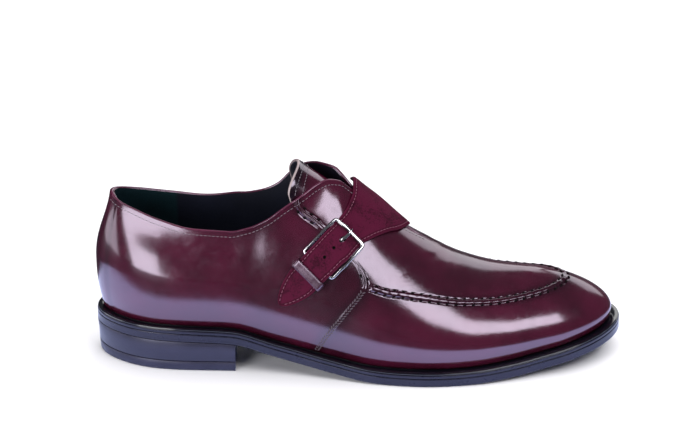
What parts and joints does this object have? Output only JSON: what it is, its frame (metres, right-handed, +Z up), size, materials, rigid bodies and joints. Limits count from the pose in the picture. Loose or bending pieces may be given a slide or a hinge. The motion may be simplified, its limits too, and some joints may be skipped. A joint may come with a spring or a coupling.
{
  "type": "monk strap shoe",
  "caption": "Low leather dress shoe for the right foot, with an apron toe, a buckled strap over the instep and a low stacked heel.",
  "frame": {"origin": "middle of the shoe's bounding box, on the floor", "axes": "+X from heel to toe, +Y to the inner side of the right foot, +Z up"},
  "size_m": [0.3, 0.1008, 0.1136],
  "materials": {
    "sole_edge": "black waxed edge, gloss",
    "heel_rubber": "black rubber, satin",
    "sock_leather": "dark navy lining leather, matt",
    "burgundy_leather": "polished calf with a darker patina, high gloss",
    "burgundy_suede": "suede, matt",
    "polished_steel": "polished"
  },
  "bodies": {
    "root": {"buckle_frame": "polished_steel", "buckle_prong": "polished_steel", "chape": "burgundy_leather", "heel": "sole_edge", "insole": "sock_leather", "keeper": "burgundy_leather", "outsole": "sole_edge", "strap": "burgundy_suede", "tongue": "burgundy_leather", "top_lift": "heel_rubber", "upper": "burgundy_leather", "welt": "sole_edge"}
  },
  "joints": []
}
